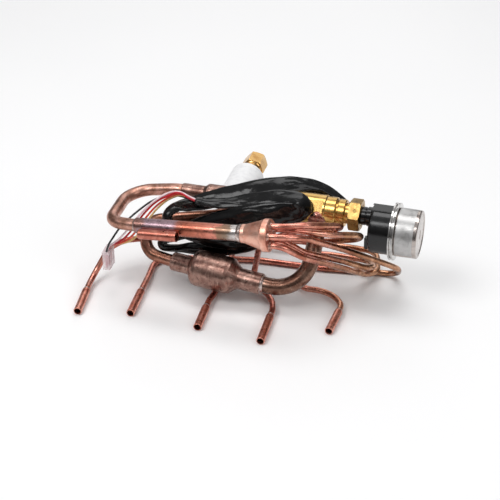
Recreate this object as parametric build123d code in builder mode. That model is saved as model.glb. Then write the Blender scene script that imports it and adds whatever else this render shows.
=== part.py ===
# Evaporator inlet tube assembly: motor-driven expansion valve, two strainers,
# liquid distributor with five feeder tubes and outlet sockets, flared liquid line.
# Millimetres, +Z up, +X towards the motor can, -Y towards the viewer's side.
import math
import os
from build123d import *

os.makedirs("parts", exist_ok=True)

# ---------------------------------------------------------------- driving sizes
SHIFT_X, SHIFT_Y = 0.904, -31.722   # moves the footprint's centre to the origin
FEEDER_D, FEEDER_WALL = 4.76, 0.70
SOCKET_D, SOCKET_BORE = 6.35, 5.3
LINE_D, LINE_WALL = 9.52, 0.80     # U bend and strainer inlet loop
NEAR_D, NEAR_BORE = 12.0, 9.62     # distributor inlet tube
ELBOW_D, ELBOW_WALL = 12.7, 1.0
LIQUID_D, LIQUID_WALL = 6.35, 0.80
POCKET_D, POCKET_BORE = 7.9, 6.5
FOAM_D = 28.0
CAN_D, FLANGE_D, HOUSING_D = 37.0, 44.0, 37.2
NUT_AF, NUT_LEN = 17.0, 21.0
LOCK_NUT_R, LOCK_NUT_LEN = 12.7, 8.7
WIRE_D = 1.6
SLEEVE_D = 7.0
LIMP = 3                            # smallest bend of a soft lead in diameters


def P(x, y, z):
    return Vector(x - SHIFT_X, y - SHIFT_Y, z)


def route(points):
    return [P(*p) for p in points]


def bend_radii(points, largest):
    radii = []
    for a, b, c in zip(points[:-2], points[1:-1], points[2:]):
        u, v = (b - a).normalized(), (c - b).normalized()
        turn = math.acos(max(-1.0, min(1.0, u.dot(v))))
        shorter = min((b - a).length, (c - b).length)
        radii.append(round(min(largest, 0.45 * shorter / math.tan(turn / 2)), 2))
    return radii


def length_of(points, radii):
    total = sum((b - a).length for a, b in zip(points[:-1], points[1:]))
    for a, b, c, r in zip(points[:-2], points[1:-1], points[2:], radii):
        turn = math.acos(max(-1.0, min(1.0, (b - a).normalized().dot((c - b).normalized()))))
        total += r * (turn - 2 * math.tan(turn / 2))
    return total


def axial(origin, direction, up=Vector(0, 0, 1)):
    """Plane whose x runs along the axis and whose y is the radius."""
    side = direction.cross(up).normalized()
    return Plane(origin=origin, x_dir=direction, z_dir=side)


# ---------------------------------------------------------------- straight axes
REAR_DIR = Vector(1, -0.062, 0.016).normalized()
NEAR_DIR = Vector(81, -7.4, 9.4).normalized()
STRAIN_A, STRAIN_B = P(-60.4, -66.2, 24.5), P(13.3, -75.6, 20.6)
STRAIN_DIR = (STRAIN_B - STRAIN_A).normalized()
LIQ_DIR = Vector(0.018, 1, 0).normalized()
LIQ_0 = P(-25.9, -31.1, 51.5)
REAR_0 = P(-40.7, -31.5, 68.6)
NEAR_0 = P(-81.1, -88.1, 66.7)


def rear(x):
    return REAR_0 + REAR_DIR * ((x - SHIFT_X - REAR_0.X) / REAR_DIR.X)


def near(x):
    return NEAR_0 + NEAR_DIR * ((x - SHIFT_X - NEAR_0.X) / NEAR_DIR.X)


def strain(x):
    return STRAIN_A + STRAIN_DIR * ((x - SHIFT_X - STRAIN_A.X) / STRAIN_DIR.X)


def liquid(y):
    return LIQ_0 + LIQ_DIR * ((y - SHIFT_Y - LIQ_0.Y) / LIQ_DIR.Y)


MOTOR_DROP = Vector(0, 0, -9.6)


def motor(x):
    return rear(x) + MOTOR_DROP


# ---------------------------------------------------------------- distributor
CONE_WIDE, CONE_NARROW = near(24.9), near(3.0)
CONE_LEN = (CONE_WIDE - CONE_NARROW).length
VIEW = Vector(0.2051593, -0.8228547, 0.5299192)
FACE_1 = (VIEW - NEAR_DIR * VIEW.dot(NEAR_DIR)).normalized()
FACE_2 = NEAR_DIR.cross(FACE_1).normalized()
if FACE_2.Z < 0:
    FACE_2 = FACE_2 * -1
HOLE_RING = 7.4


def feeder_hole(angle):
    a = math.radians(angle)
    return CONE_WIDE + FACE_1 * (HOLE_RING * math.cos(a)) + FACE_2 * (HOLE_RING * math.sin(a))


HOLES = [feeder_hole(a) for a in (136, -8, -80, 64, -152)]

with BuildPart() as distributor_cone:
    with BuildSketch(axial(CONE_NARROW, NEAR_DIR)):
        with BuildLine():
            Polyline((0, 0), (0, 6.75), (0.5, 7.0), (3.0, 7.1), (16.4, 11.4), (17.6, 12.25),
                     (CONE_LEN - 0.6, 12.25), (CONE_LEN, 11.65), (CONE_LEN, 0), close=True)
        make_face()
    revolve(axis=Axis(CONE_NARROW, NEAR_DIR))
    with BuildSketch(Plane(origin=CONE_NARROW, z_dir=NEAR_DIR)):
        Circle(NEAR_D / 2 + 0.06)
    extrude(amount=12.8, mode=Mode.SUBTRACT)
    for hole in HOLES:
        with BuildSketch(Plane(origin=hole, z_dir=NEAR_DIR)):
            Circle(FEEDER_D / 2 + 0.06)
        extrude(amount=-9.6, mode=Mode.SUBTRACT)
    with BuildSketch(Plane(origin=CONE_WIDE, z_dir=NEAR_DIR)):
        Circle(1.2)
    extrude(amount=-1.5, mode=Mode.SUBTRACT)

with BuildPart() as distributor_braze_ring:
    with BuildSketch(axial(near(-0.4), NEAR_DIR)):
        with BuildLine():
            Polyline((0, 6.03), (0.4, 6.3), (1.6, 6.75), (3.35, 6.95), (3.35, 6.03), close=True)
        make_face()
    revolve(axis=Axis(near(-0.4), NEAR_DIR))

with BuildPart() as distributor_inlet_tube:
    with BuildSketch(Plane(origin=near(-81.0), z_dir=NEAR_DIR)):
        Circle(NEAR_D / 2)
        Circle(NEAR_BORE / 2, mode=Mode.SUBTRACT)
    extrude(amount=(near(12.0) - near(-81.0)).length)

# ---------------------------------------------------------------- U bend
U_POINTS = [rear(-50), rear(-67), P(-106.4, -27.9, 61.0), P(-104.6, -83.2, 64.0), near(-84), near(-70)]
U_RADII = [60, 19, 14.5, 50]
with BuildPart() as u_bend_tube:
    with BuildLine() as u_bend_line:
        FilletPolyline(*U_POINTS, radius=U_RADII)
    with BuildSketch(Plane(origin=U_POINTS[0], z_dir=REAR_DIR * -1)):
        Circle(LINE_D / 2)
        Circle(LINE_D / 2 - LINE_WALL, mode=Mode.SUBTRACT)
    sweep(path=u_bend_line.line)

with BuildPart() as u_bend_braze_ring:
    with BuildSketch(axial(near(-82.7), NEAR_DIR)):
        with BuildLine():
            Polyline((0, 4.8), (0.5, 5.2), (1.15, 5.75), (1.65, 5.95), (1.65, 4.8), close=True)
        make_face()
    revolve(axis=Axis(near(-82.7), NEAR_DIR))

# ---------------------------------------------------------------- rear strainer
with BuildPart() as rear_strainer_shell:
    with BuildSketch(axial(rear(-61.5), REAR_DIR)):
        with BuildLine():
            Polyline((0, 4.82), (0, 5.5), (0.6, 5.7), (18.0, 5.7), (19.6, 6.6), (21.2, 7.8), (22.6, 7.94),
                     (83.0, 7.94), (85.5, 7.2), (87.6, 5.8), (88.6, 5.6), (96.6, 5.6), (96.6, 4.4),
                     (87.0, 4.4), (84.2, 6.6), (82.6, 6.94), (23.0, 6.94), (20.4, 6.2), (18.8, 4.82), close=True)
        make_face()
    revolve(axis=Axis(rear(-61.5), REAR_DIR))

with BuildPart() as rear_strainer_screen:
    with BuildSketch(axial(rear(-30), REAR_DIR)):
        with BuildLine():
            Polyline((0, 0), (0, 5.2), (44, 5.2), (44, 6.85), (44.5, 6.85), (44.5, 4.85), (0.35, 4.85),
                     (0.35, 0), close=True)
        make_face()
    revolve(axis=Axis(rear(-30), REAR_DIR))

# ---------------------------------------------------------------- sensor pocket
POCKET_OFF = Vector(0, -9.9, -1.25)
POCKET_A, POCKET_B = near(-76.5) + POCKET_OFF, near(-45.5) + POCKET_OFF
POCKET_LEN = (POCKET_B - POCKET_A).length
with BuildPart() as sensor_pocket:
    with BuildSketch(axial(POCKET_A, NEAR_DIR)):
        with BuildLine():
            Polyline((0, 0), (0, 2.6), (0.5, 3.5), (1.3, POCKET_D / 2), (POCKET_LEN, POCKET_D / 2),
                     (POCKET_LEN, POCKET_BORE / 2), (1.4, POCKET_BORE / 2), (0.8, 2.4), (0.8, 0), close=True)
        make_face()
    revolve(axis=Axis(POCKET_A, NEAR_DIR))
    # crimp slit across the top
    with BuildSketch(axial(near(-55.4) + POCKET_OFF, NEAR_DIR)):
        with Locations((0, 5.0)):
            Rectangle(1.1, 5.4)
    extrude(amount=0.9, both=True, mode=Mode.SUBTRACT)

# ---------------------------------------------------------------- feeder tubes
FEEDER_MID = {
    1: [(65.0, -78.2, 74.0), (85.9, -59.3, 65.5), (81.7, -47.8, 54.5), (58.7, -40.6, 45.0), (22.0, -38.0, 38.0),
        (-25.0, -26.0, 33.0), (-66.0, -29.0, 29.0), (-89.5, -44.2, 28.0), (-103.9, -55.7, 31.0),
        (-115.0, -60.9, 25.0), (-123.5, -72.0, 8.0)],
    2: [(48.6, -96.7, 80.0), (73.6, -60.9, 52.0), (102.2, -34.2, 27.0), (111.1, -24.9, 18.0), (109.1, -8.1, 2.38),
        (50.9, -14.4, 2.38), (-5.0, -14.8, 2.38), (-45.0, -22.0, 2.38), (-86.0, -32.1, 2.38), (-82.9, -62.9, 3.8)],
    3: [(48.9, -95.2, 62.0), (72.7, -48.6, 27.0), (85.4, -22.4, 7.2), (93.8, -17.4, 8.2), (89.5, 7.8, 10.5),
        (68.1, 10.4, 10.0), (25.4, 7.7, 11.0), (-14.0, 6.0, 11.0), (-24.0, -14.0, 10.5), (-25.0, -45.0, 4.6),
        (-25.5, -74.0, 4.1)],
    4: [(50.5, -89.2, 86.5), (71.8, -67.0, 76.0), (67.5, -58.8, 68.0), (39.9, -67.4, 68.3), (10.0, -69.5, 53.5),
        (1.4, -49.2, 17.0), (0.0, -57.0, 4.1), (13.0, -60.5, 4.1), (21.0, -73.0, 4.1)],
    5: [(46.7, -84.5, 60.0), (72.3, -46.3, 32.0), (86.8, -34.3, 21.0), (91.3, -24.5, 17.0), (84.9, -9.0, 12.0),
        (53.3, -7.6, 12.0), (38.0, -9.0, 11.5), (33.0, -33.0, 6.0), (38.6, -49.3, 4.1), (54.4, -48.7, 4.1),
        (66.2, -54.0, 4.1)],
}
SOCKETS = {  # rear end, mouth
    1: (P(-123.8, -92.1, 4.2), P(-120.9, -120.5, 3.175)),
    2: (P(-81.9, -83.1, 4.2), P(-80.9, -113.2, 3.175)),
    3: (P(-26.6, -92.1, 4.2), P(-26.2, -118.6, 3.175)),
    4: (P(23.9, -92.0, 4.2), P(23.9, -124.5, 3.175)),
    5: (P(73.3, -73.4, 4.2), P(70.6, -99.8, 3.175)),
}
SOCKET_DIR = {n: (m - s).normalized() for n, (s, m) in SOCKETS.items()}
FEEDER_IN = 5.0


def feeder_points(n):
    hole, (start, mouth) = HOLES[n - 1], SOCKETS[n]
    d = SOCKET_DIR[n]
    return ([hole - NEAR_DIR * 6, hole + NEAR_DIR * 9] + route(FEEDER_MID[n]) + [start - d * 8, start + d * FEEDER_IN])


F1, F2, F3, F4, F5 = (feeder_points(n) for n in (1, 2, 3, 4, 5))
R1, R2, R3, R4, R5 = (bend_radii(f, 28) for f in (F1, F2, F3, F4, F5))
for n, f, r in ((1, F1, R1), (2, F2, R2), (3, F3, R3), (4, F4, R4), (5, F5, R5)):
    print("feeder", n, "length", round(length_of(f, r), 1), "radii", r)

with BuildPart() as feeder_tube_1:
    with BuildLine() as feeder_1_line:
        FilletPolyline(*F1, radius=R1)
    with BuildSketch(Plane(origin=F1[0], z_dir=NEAR_DIR)):
        Circle(FEEDER_D / 2)
        Circle(FEEDER_D / 2 - FEEDER_WALL, mode=Mode.SUBTRACT)
    sweep(path=feeder_1_line.line)

with BuildPart() as feeder_tube_2:
    with BuildLine() as feeder_2_line:
        FilletPolyline(*F2, radius=R2)
    with BuildSketch(Plane(origin=F2[0], z_dir=NEAR_DIR)):
        Circle(FEEDER_D / 2)
        Circle(FEEDER_D / 2 - FEEDER_WALL, mode=Mode.SUBTRACT)
    sweep(path=feeder_2_line.line)

with BuildPart() as feeder_tube_3:
    with BuildLine() as feeder_3_line:
        FilletPolyline(*F3, radius=R3)
    with BuildSketch(Plane(origin=F3[0], z_dir=NEAR_DIR)):
        Circle(FEEDER_D / 2)
        Circle(FEEDER_D / 2 - FEEDER_WALL, mode=Mode.SUBTRACT)
    sweep(path=feeder_3_line.line)

with BuildPart() as feeder_tube_4:
    with BuildLine() as feeder_4_line:
        FilletPolyline(*F4, radius=R4)
    with BuildSketch(Plane(origin=F4[0], z_dir=NEAR_DIR)):
        Circle(FEEDER_D / 2)
        Circle(FEEDER_D / 2 - FEEDER_WALL, mode=Mode.SUBTRACT)
    sweep(path=feeder_4_line.line)

with BuildPart() as feeder_tube_5:
    with BuildLine() as feeder_5_line:
        FilletPolyline(*F5, radius=R5)
    with BuildSketch(Plane(origin=F5[0], z_dir=NEAR_DIR)):
        Circle(FEEDER_D / 2)
        Circle(FEEDER_D / 2 - FEEDER_WALL, mode=Mode.SUBTRACT)
    sweep(path=feeder_5_line.line)

# ---------------------------------------------------------------- outlet sockets
SOCKET_LEN = {n: (m - s).length for n, (s, m) in SOCKETS.items()}


def socket_profile(length):
    seat = FEEDER_D / 2 + 0.05
    return [(0, seat), (0, 2.75), (0.7, 2.95), (1.8, SOCKET_D / 2), (length - 0.25, SOCKET_D / 2),
            (length, SOCKET_D / 2 - 0.15), (length, SOCKET_BORE / 2), (FEEDER_IN + 0.6, SOCKET_BORE / 2),
            (FEEDER_IN + 0.3, seat)]


with BuildPart() as outlet_socket_1:
    with BuildSketch(axial(SOCKETS[1][0], SOCKET_DIR[1])):
        with BuildLine():
            Polyline(*socket_profile(SOCKET_LEN[1]), close=True)
        make_face()
    revolve(axis=Axis(SOCKETS[1][0], SOCKET_DIR[1]))

with BuildPart() as outlet_socket_2:
    with BuildSketch(axial(SOCKETS[2][0], SOCKET_DIR[2])):
        with BuildLine():
            Polyline(*socket_profile(SOCKET_LEN[2]), close=True)
        make_face()
    revolve(axis=Axis(SOCKETS[2][0], SOCKET_DIR[2]))

with BuildPart() as outlet_socket_3:
    with BuildSketch(axial(SOCKETS[3][0], SOCKET_DIR[3])):
        with BuildLine():
            Polyline(*socket_profile(SOCKET_LEN[3]), close=True)
        make_face()
    revolve(axis=Axis(SOCKETS[3][0], SOCKET_DIR[3]))

with BuildPart() as outlet_socket_4:
    with BuildSketch(axial(SOCKETS[4][0], SOCKET_DIR[4])):
        with BuildLine():
            Polyline(*socket_profile(SOCKET_LEN[4]), close=True)
        make_face()
    revolve(axis=Axis(SOCKETS[4][0], SOCKET_DIR[4]))

with BuildPart() as outlet_socket_5:
    with BuildSketch(axial(SOCKETS[5][0], SOCKET_DIR[5])):
        with BuildLine():
            Polyline(*socket_profile(SOCKET_LEN[5]), close=True)
        make_face()
    revolve(axis=Axis(SOCKETS[5][0], SOCKET_DIR[5]))

# ---------------------------------------------------------------- large strainer
with BuildPart() as strainer_shell:
    with BuildSketch(axial(strain(-60.4), STRAIN_DIR)):
        with BuildLine():
            Polyline((0, 4.82), (0, 6.9), (0.5, 7.3), (15.2, 7.3), (16.6, 8.6), (17.2, 10.6), (18.4, 12.6),
                     (20.2, 13.9), (22.4, 14.3), (46.5, 14.3), (49.4, 13.7), (54.6, 9.2), (56.2, 8.3),
                     (74.0, 8.25), (74.45, 8.0), (74.45, 6.42), (64.0, 6.42), (55.4, 6.42), (53.6, 7.9),
                     (48.8, 12.4), (46.2, 13.1), (22.6, 13.1), (20.8, 12.7), (19.2, 11.6), (18.2, 9.8),
                     (17.4, 7.6), (16.0, 5.6), (14.5, 4.82), close=True)
        make_face()
    revolve(axis=Axis(strain(-60.4), STRAIN_DIR))

with BuildPart() as strainer_screen:
    with BuildSketch(axial(strain(-38), STRAIN_DIR)):
        with BuildLine():
            Polyline((0, 0), (0, 9.6), (23.0, 9.6), (23.0, 13.0), (23.6, 13.0), (23.6, 9.2), (0.4, 9.2),
                     (0.4, 0), close=True)
        make_face()
    revolve(axis=Axis(strain(-38), STRAIN_DIR))

# ---------------------------------------------------------------- strainer inlet loop
L_POINTS = [strain(-50), strain(-64), P(-82.9, -62.2, 26.5), P(-87.4, -51.6, 49.0), P(-25.9, -31.1, 51.5), liquid(5)]
L_RADII = [40, 12.5, 13, 16]
with BuildPart() as strainer_inlet_tube:
    with BuildLine() as inlet_line:
        FilletPolyline(*L_POINTS, radius=L_RADII)
    with BuildSketch(Plane(origin=L_POINTS[0], z_dir=STRAIN_DIR * -1)):
        Circle(LINE_D / 2)
        Circle(LINE_D / 2 - LINE_WALL, mode=Mode.SUBTRACT)
    sweep(path=inlet_line.line)

# ---------------------------------------------------------------- elbow into the valve
PORT_DIR = Vector(0.0, -0.62, -0.78).normalized()
VALVE_X = 49.5
PORT_END = rear(VALVE_X) + PORT_DIR * 7.6
E_POINTS = [strain(2.5), strain(17.0), P(46.3, -75.9, 18.5), rear(VALVE_X) + PORT_DIR * 24.0, PORT_END]
E_RADII = [45, 26, 70]
with BuildPart() as valve_inlet_elbow:
    with BuildLine() as elbow_line:
        FilletPolyline(*E_POINTS, radius=E_RADII)
    with BuildSketch(Plane(origin=E_POINTS[0], z_dir=STRAIN_DIR)):
        Circle(ELBOW_D / 2)
        Circle(ELBOW_D / 2 - ELBOW_WALL, mode=Mode.SUBTRACT)
    sweep(path=elbow_line.line)

with BuildPart() as valve_port_collar:
    with BuildSketch(axial(rear(VALVE_X) + PORT_DIR * 11.0, PORT_DIR, Vector(1, 0, 0))):
        with BuildLine():
            Polyline((0, 6.42), (0, 7.6), (2.2, 7.6), (3.6, 7.15), (4.2, 6.8), (4.2, 6.42), close=True)
        make_face()
    revolve(axis=Axis(rear(VALVE_X), PORT_DIR))

with BuildPart() as strainer_braze_ring:
    with BuildSketch(axial(strain(13.45), STRAIN_DIR)):
        with BuildLine():
            Polyline((0, 6.38), (0, 7.9), (0.8, 7.5), (1.6, 6.7), (2.0, 6.38), close=True)
        make_face()
    revolve(axis=Axis(strain(13.45), STRAIN_DIR))

# ---------------------------------------------------------------- valve body
with BuildPart() as valve_body:
    with BuildSketch(axial(rear(28), REAR_DIR)):
        with BuildLine():
            Polyline((0, 0), (0, 11.2), (0.8, 12.0), (26.6, 12.0), (27.4, 11.2), (34.6, 11.2), (35.2, 10.6),
                     (35.2, 8.75), (36.4, 8.75), (36.4, 10.0), (36.9, 10.35), (41.6, 10.35), (42.2, 9.8),
                     (42.2, 7.9), (53.6, 7.9), (54.1, 7.4), (54.1, 0), close=True)
        make_face()
    revolve(axis=Axis(rear(28), REAR_DIR))
    # inlet bore, seat and chamber
    with BuildSketch(axial(rear(28), REAR_DIR)):
        with BuildLine():
            Polyline((0, 0), (0, 5.66), (8.0, 5.66), (8.0, 4.0), (12.0, 4.0), (12.6, 2.0), (15.4, 2.0),
                     (16.4, 5.9), (30.0, 5.9), (31.5, 3.0), (33.0, 3.0), (33.0, 0), close=True)
        make_face()
    revolve(axis=Axis(rear(28), REAR_DIR), mode=Mode.SUBTRACT)
    # side port for the elbow
    with BuildSketch(Plane(origin=rear(VALVE_X) + PORT_DIR * 7.5, z_dir=PORT_DIR)):
        Circle(ELBOW_D / 2 + 0.06)
    extrude(amount=8, mode=Mode.SUBTRACT)
    with BuildSketch(Plane(origin=rear(VALVE_X) + PORT_DIR * 4.0, z_dir=PORT_DIR)):
        Circle(4.2)
    extrude(amount=6, mode=Mode.SUBTRACT)
    # seat for the port collar
    with BuildSketch(Plane(origin=rear(VALVE_X) + PORT_DIR * 11.0, z_dir=PORT_DIR)):
        Circle(7.66)
    extrude(amount=4, mode=Mode.SUBTRACT)
    # milled flats on the viewer's side and the back
    for side in (1, -1):
        flat_dir = Vector(0, -0.78 * side, 0.62 * side)
        with BuildSketch(Plane(origin=rear(41) + flat_dir * 11.2, z_dir=flat_dir, x_dir=REAR_DIR)):
            Rectangle(23.5, 20)
        extrude(amount=4, mode=Mode.SUBTRACT)

# ---------------------------------------------------------------- lock nut
NUT_PLANE = Plane(origin=rear(73.3), x_dir=Vector(0, -1, 0) - REAR_DIR * REAR_DIR.dot(Vector(0, -1, 0)), z_dir=REAR_DIR)
with BuildPart() as valve_lock_nut:
    with BuildSketch(NUT_PLANE):
        RegularPolygon(radius=LOCK_NUT_R, side_count=6, rotation=-12.8)
        Circle(7.98, mode=Mode.SUBTRACT)
    extrude(amount=LOCK_NUT_LEN)
    with BuildSketch(axial(rear(73.3), REAR_DIR)):
        with BuildLine():
            Polyline((-1, 14), (-1, 11.0), (0, 11.6), (0.75, LOCK_NUT_R + 0.1), (LOCK_NUT_LEN - 0.75, LOCK_NUT_R + 0.1),
                     (LOCK_NUT_LEN, 11.6), (LOCK_NUT_LEN + 1, 11.0), (LOCK_NUT_LEN + 1, 14), close=True)
        make_face()
    revolve(axis=Axis(rear(73.3), REAR_DIR), mode=Mode.SUBTRACT)
    punch_angle = math.radians(12.8 + 30)
    punch_dir = Vector(0, -math.cos(punch_angle), math.sin(punch_angle))
    with BuildSketch(Plane(origin=rear(73.3) + REAR_DIR * 4.3 + punch_dir * 10.3, z_dir=punch_dir)):
        Circle(1.45)
    extrude(amount=4, mode=Mode.SUBTRACT)

# ---------------------------------------------------------------- sealed motor
with BuildPart() as motor_neck:
    with BuildSketch(axial(rear(82.2), REAR_DIR)):
        with BuildLine():
            Polyline((0, 0), (0, 6.7), (0.3, 7.0), (3.4, 7.0), (3.8, 6.6), (4.4, 6.6), (4.8, 7.4), (7.5, 7.4),
                     (7.5, 0), close=True)
        make_face()
    revolve(axis=Axis(rear(82.2), REAR_DIR))

HOUSING_LEN = 16.4
with BuildPart() as motor_housing:
    with BuildSketch(axial(motor(90.0), REAR_DIR)):
        with BuildLine():
            Polyline((0, 0), (0, 15.8), (0.4, 17.4), (1.4, 18.3), (2.6, 18.6), (HOUSING_LEN, 18.6),
                     (HOUSING_LEN, 0), close=True)
        make_face()
    revolve(axis=Axis(motor(90.0), REAR_DIR))
    # top boss
    with BuildSketch(Plane(origin=motor(90.2), x_dir=Vector(0, 1, 0) - REAR_DIR * REAR_DIR.dot(Vector(0, 1, 0)),
                           z_dir=REAR_DIR)):
        with Locations((0, 12.9)):
            RectangleRounded(11, 12, 0.8)
    extrude(amount=15.8)
    # lug low on the valve-side face
    with BuildSketch(Plane(origin=motor(90.5), x_dir=Vector(0, 1, 0) - REAR_DIR * REAR_DIR.dot(Vector(0, 1, 0)),
                           z_dir=REAR_DIR)):
        with Locations((-7.4, -9.0)):
            RectangleRounded(5.0, 9.5, 0.8)
    extrude(amount=-3.8)
    # recess round the neck
    with BuildSketch(Plane(origin=rear(89.8), z_dir=REAR_DIR)):
        Circle(9.6)
        Circle(8.2, mode=Mode.SUBTRACT)
    extrude(amount=1.0, mode=Mode.SUBTRACT)
    # cable gland seat in the valve-side face
    with BuildSketch(Plane(origin=motor(89.8) + Vector(0, 14.2, -2.0), z_dir=REAR_DIR)):
        Circle(2.9)
    extrude(amount=3.4, mode=Mode.SUBTRACT)

with BuildPart() as motor_flange:
    with BuildSketch(axial(motor(90.0) + REAR_DIR * (HOUSING_LEN + 0.02), REAR_DIR)):
        with BuildLine():
            Polyline((0, 0), (0, 21.4), (0.3, 22.0), (1.3, 22.0), (1.6, 21.5), (1.7, 20.6), (2.4, 20.6),
                     (2.5, 21.5), (2.8, 22.0), (3.8, 22.0), (4.1, 21.4), (4.1, 0), close=True)
        make_face()
    revolve(axis=Axis(motor(90.0), REAR_DIR))

CAN_START = HOUSING_LEN + 0.04 + 4.1
with BuildPart() as motor_can:
    with BuildSketch(axial(motor(90.0) + REAR_DIR * CAN_START, REAR_DIR)):
        with BuildLine():
            Polyline((0, 0), (0, 18.0), (0.5, 18.5), (15.9, 18.5), (16.6, 18.3), (17.0, 17.7), (17.0, 16.6),
                     (16.6, 16.1), (16.6, 4.0), (16.3, 3.4), (16.3, 0), close=True)
        make_face()
    revolve(axis=Axis(motor(90.0), REAR_DIR))

# ---------------------------------------------------------------- lead grommet, sleeve and wires
GLAND = motor(89.8) + Vector(0, 14.2, -2.0) + REAR_DIR * 3.2
GLAND_OUT = REAR_DIR * -1
with BuildPart() as lead_grommet:
    with BuildSketch(axial(GLAND, GLAND_OUT)):
        with BuildLine():
            Polyline((0, 0), (0, 2.8), (3.5, 2.8), (3.5, 3.8), (4.6, 3.8), (5.2, 3.5), (6.0, 3.5), (6.0, 0),
                     close=True)
        make_face()
    revolve(axis=Axis(GLAND, GLAND_OUT))

S_POINTS = [GLAND + GLAND_OUT * 6.0, GLAND + GLAND_OUT * 13.5, P(66.0, -19.5, 66.5), P(54.0, -17.0, 74.5),
            P(41.0, -19.5, 80.5), P(28.0, -27.0, 83.5), P(21.0, -30.5, 83.6)]
S_RADII = bend_radii(S_POINTS, 40)
print("sleeve lead", round(length_of(S_POINTS, S_RADII), 1), "radii", S_RADII)
with BuildPart() as lead_sleeve_start:
    with BuildLine() as sleeve_line:
        FilletPolyline(*S_POINTS, radius=S_RADII)
    with BuildSketch(Plane(origin=S_POINTS[0], z_dir=(S_POINTS[1] - S_POINTS[0]).normalized())):
        Circle(SLEEVE_D / 2)
    sweep(path=sleeve_line.line)

with BuildPart() as lead_sleeve_hank:
    # hanging front loops
    with BuildSketch(Plane.XZ.offset(-P(0, -50, 0).Y)):
        with BuildLine():
            Polyline(*[(P(x, 0, 0).X, z) for x, z in ((-57, 38), (-8, 38), (0, 44), (2, 50), (3, 60), (24, 71), (38, 72),
                                                      (43, 80), (39, 87), (26, 88), (6, 86), (-16, 82), (-45, 78),
                                                      (-57, 74))], close=True)
        make_face()
    extrude(amount=16)
    # left end loop
    with BuildSketch(Plane.XZ.offset(-P(0, -53, 0).Y)):
        with BuildLine():
            Polyline(*[(P(x, 0, 0).X, z) for x, z in ((-70, 60), (-66, 50), (-66, 38), (-50, 38), (-50, 74), (-64, 72))],
                     close=True)
        make_face()
    extrude(amount=13)
    # run along the front of the rear strainer
    with BuildSketch(Plane.XY.offset(79.2)):
        with BuildLine():
            Polyline(*[(P(x, y, 0).X, P(x, y, 0).Y) for x, y in ((-30, -52), (-30, -42), (-4, -37), (14, -27), (21, -27),
                                                                 (21, -52))], close=True)
        make_face()
    extrude(amount=7.6)
    # low run behind the large strainer
    with BuildSketch(Plane.XY.offset(29)):
        with BuildLine():
            Polyline(*[(P(x, y, 0).X, P(x, y, 0).Y) for x, y in ((-64, -53.8), (-64, -49.6), (-10, -49.6), (-10, -53.8))],
                     close=True)
        make_face()
    extrude(amount=14)

W_BLACK = route([(-48.2, -56.4, 76.5), (-56.8, -56.4, 81.9), (-66.7, -57.9, 80.9), (-77.2, -60.9, 74.5),
                 (-85.1, -64.9, 68.2), (-92.8, -69.4, 61.2), (-99.9, -73.4, 53.9), (-104.5, -77.4, 46.0),
                 (-109.2, -81.0, 34.0)])
W_WHITE = route([(-47.9, -54.7, 75.6), (-56.5, -54.7, 80.1), (-66.5, -56.2, 78.3), (-75.4, -59.2, 73.4),
                 (-83.3, -63.2, 65.7), (-90.3, -67.7, 57.4), (-95.9, -71.7, 49.0), (-102.7, -75.7, 42.0),
                 (-109.4, -78.7, 33.9)])
W_RED = route([(-48.0, -53.0, 74.6), (-56.3, -53.0, 78.8), (-65.9, -54.5, 76.5), (-74.8, -57.5, 71.7),
               (-82.3, -61.5, 63.9), (-88.5, -66.0, 55.8), (-94.2, -70.0, 46.5), (-101.3, -73.6, 40.2),
               (-109.5, -76.4, 33.9)])
W_ORANGE = route([(-48.1, -51.3, 73.2), (-56.0, -51.3, 77.0), (-65.3, -52.8, 74.3), (-73.8, -55.8, 68.6),
                  (-80.6, -59.8, 61.0), (-86.4, -64.3, 52.4), (-92.4, -68.3, 43.4), (-100.4, -71.6, 38.6),
                  (-109.6, -74.1, 33.9)])
W_YELLOW = route([(-48.7, -49.6, 71.3), (-57.0, -49.6, 74.6), (-67.6, -51.1, 70.4), (-75.0, -54.1, 63.9),
                  (-80.5, -58.1, 56.9), (-85.5, -62.6, 47.9), (-91.6, -66.6, 39.8), (-100.3, -69.6, 37.4),
                  (-109.6, -71.9, 33.9)])
WR = [bend_radii(w, 30) for w in (W_BLACK, W_WHITE, W_RED, W_ORANGE, W_YELLOW)]
for w, r in zip((W_BLACK, W_WHITE, W_RED, W_ORANGE, W_YELLOW), WR):
    print("wire", round(length_of(w, r), 1), "radii", r, "least", LIMP * WIRE_D)

with BuildPart() as lead_wire_black:
    with BuildLine() as black_line:
        FilletPolyline(*W_BLACK, radius=WR[0])
    with BuildSketch(Plane(origin=W_BLACK[0], z_dir=(W_BLACK[1] - W_BLACK[0]).normalized())):
        Circle(WIRE_D / 2)
    sweep(path=black_line.line)

with BuildPart() as lead_wire_white:
    with BuildLine() as white_line:
        FilletPolyline(*W_WHITE, radius=WR[1])
    with BuildSketch(Plane(origin=W_WHITE[0], z_dir=(W_WHITE[1] - W_WHITE[0]).normalized())):
        Circle(WIRE_D / 2)
    sweep(path=white_line.line)

with BuildPart() as lead_wire_red:
    with BuildLine() as red_line:
        FilletPolyline(*W_RED, radius=WR[2])
    with BuildSketch(Plane(origin=W_RED[0], z_dir=(W_RED[1] - W_RED[0]).normalized())):
        Circle(WIRE_D / 2)
    sweep(path=red_line.line)

with BuildPart() as lead_wire_orange:
    with BuildLine() as orange_line:
        FilletPolyline(*W_ORANGE, radius=WR[3])
    with BuildSketch(Plane(origin=W_ORANGE[0], z_dir=(W_ORANGE[1] - W_ORANGE[0]).normalized())):
        Circle(WIRE_D / 2)
    sweep(path=orange_line.line)

with BuildPart() as lead_wire_yellow:
    with BuildLine() as yellow_line:
        FilletPolyline(*W_YELLOW, radius=WR[4])
    with BuildSketch(Plane(origin=W_YELLOW[0], z_dir=(W_YELLOW[1] - W_YELLOW[0]).normalized())):
        Circle(WIRE_D / 2)
    sweep(path=yellow_line.line)

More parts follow.
